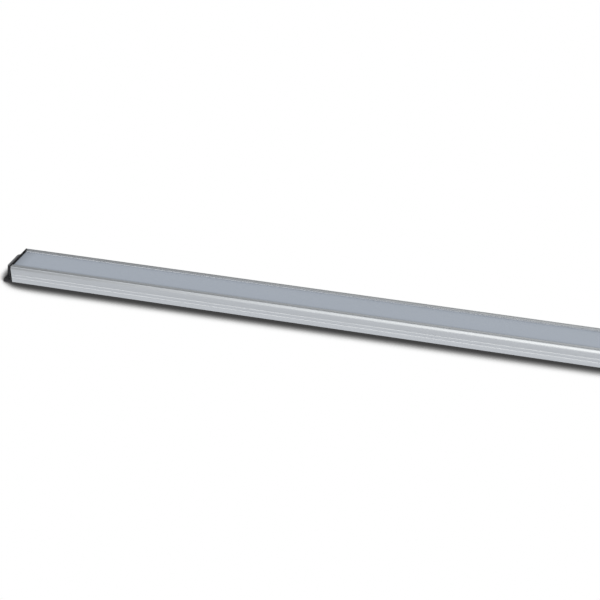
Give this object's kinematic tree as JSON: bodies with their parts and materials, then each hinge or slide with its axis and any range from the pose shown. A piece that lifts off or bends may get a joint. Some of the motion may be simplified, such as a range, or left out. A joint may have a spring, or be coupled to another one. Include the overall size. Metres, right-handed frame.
{
  "type": "outdoor wall washer light",
  "caption": "Slim linear LED wall washer: grooved aluminium extrusion, recessed frosted diffuser, gasketed end caps with flat screw-down feet and a cable gland at one end.",
  "frame": {"origin": "middle of the flat back face that lies on the wall", "axes": "+X along the light towards the end with the cable gland, +Z out of the diffuser, away from the wall"},
  "size_m": [1.0093, 0.04, 0.017],
  "materials": {
    "anodised_aluminium": "satin silver anodised, drawn along its length",
    "frosted_diffuser": "frosted blue-grey acrylic, unlit",
    "silicone_seal": "matt grey silicone",
    "cap_plastic": "fine-textured charcoal moulding",
    "gasket_rubber": "matt black silicone rubber",
    "screw_steel": "plain stainless steel",
    "board_white": "aluminium-core board with white solder mask",
    "thermal_pad": "grey filled silicone film",
    "led_ceramic": "white moulded LED body",
    "led_phosphor": "yellow phosphor silicone",
    "chip_black": "black moulding compound",
    "capacitor_ceramic": "tan ceramic",
    "terminal_plastic": "white moulded nylon",
    "contact_brass": "tinned brass spring leaf",
    "link_wire": "tinned copper wire",
    "nickel_plate": "satin nickel plate on brass"
  },
  "bodies": {
    "root": {"board_links": "link_wire", "current_regulators": "chip_black", "diffuser": "frosted_diffuser", "diffuser_seal_front": "silicone_seal", "diffuser_seal_rear": "silicone_seal", "end_cap_left": "cap_plastic", "end_cap_right": "cap_plastic", "end_cap_screws_left": "screw_steel", "end_cap_screws_right": "screw_steel", "end_gasket_left": "gasket_rubber", "end_gasket_right": "gasket_rubber", "gland_body": "nickel_plate", "gland_locknut": "nickel_plate", "gland_nut": "nickel_plate", "gland_o_ring": "gasket_rubber", "gland_seal": "gasket_rubber", "housing": "anodised_aluminium", "input_capacitors": "capacitor_ceramic", "led_board_left": "board_white", "led_board_right": "board_white", "led_domes_left": "led_phosphor", "led_domes_right": "led_phosphor", "led_packages_left": "led_ceramic", "led_packages_right": "led_ceramic", "polarity_diode": "chip_black", "sense_resistors": "chip_black", "surge_suppressor": "chip_black", "terminal_block": "terminal_plastic", "terminal_contacts": "contact_brass", "thermal_pad_left": "thermal_pad", "thermal_pad_right": "thermal_pad"}
  },
  "joints": []
}
